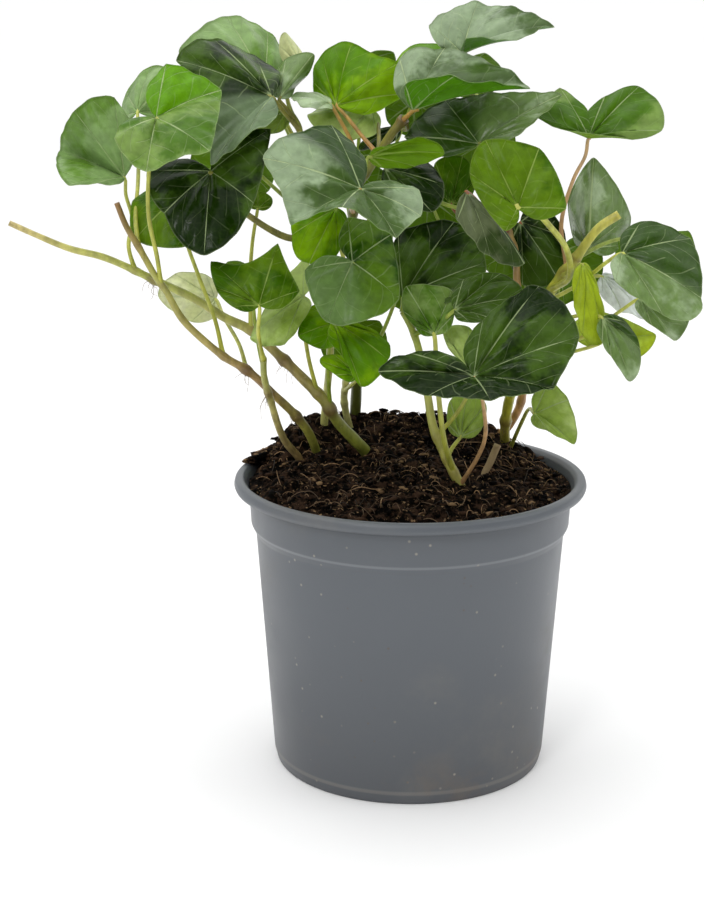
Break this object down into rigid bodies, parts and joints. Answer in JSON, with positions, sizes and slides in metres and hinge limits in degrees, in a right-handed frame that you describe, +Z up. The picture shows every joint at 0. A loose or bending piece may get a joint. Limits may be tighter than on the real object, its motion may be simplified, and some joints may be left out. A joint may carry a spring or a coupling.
{
  "type": "potted irish ivy",
  "caption": "Potted Irish ivy: thin climbing stems with glossy lobed leaves rise from dark peat in a round tapered plastic nursery pot with a rolled lip.",
  "frame": {"origin": "centre of the pot's base, in the plane that it stands on", "axes": "+Z up along the pot's axis, +X to the plant's right and +Y to its back, seen from the front"},
  "size_m": [0.2495, 0.1451, 0.2793],
  "materials": {
    "pot": "satin blue-grey moulded polypropylene",
    "soil": "loose dark fibrous peat",
    "leafy_stem": "glossy waxy leaves on smooth green stems",
    "cut_stub": "dry, dull and fibrous"
  },
  "bodies": {
    "root": {"pot": "pot", "soil": "soil", "low_left_stem": "leafy_stem", "forked_left_stem": "leafy_stem", "long_left_stem": "leafy_stem", "thick_back_stem": "leafy_stem", "upper_left_stem": "leafy_stem", "centre_stem": "leafy_stem", "front_stem": "leafy_stem", "right_stem": "leafy_stem", "middle_stem": "leafy_stem", "cut_stub": "cut_stub"}
  },
  "joints": []
}
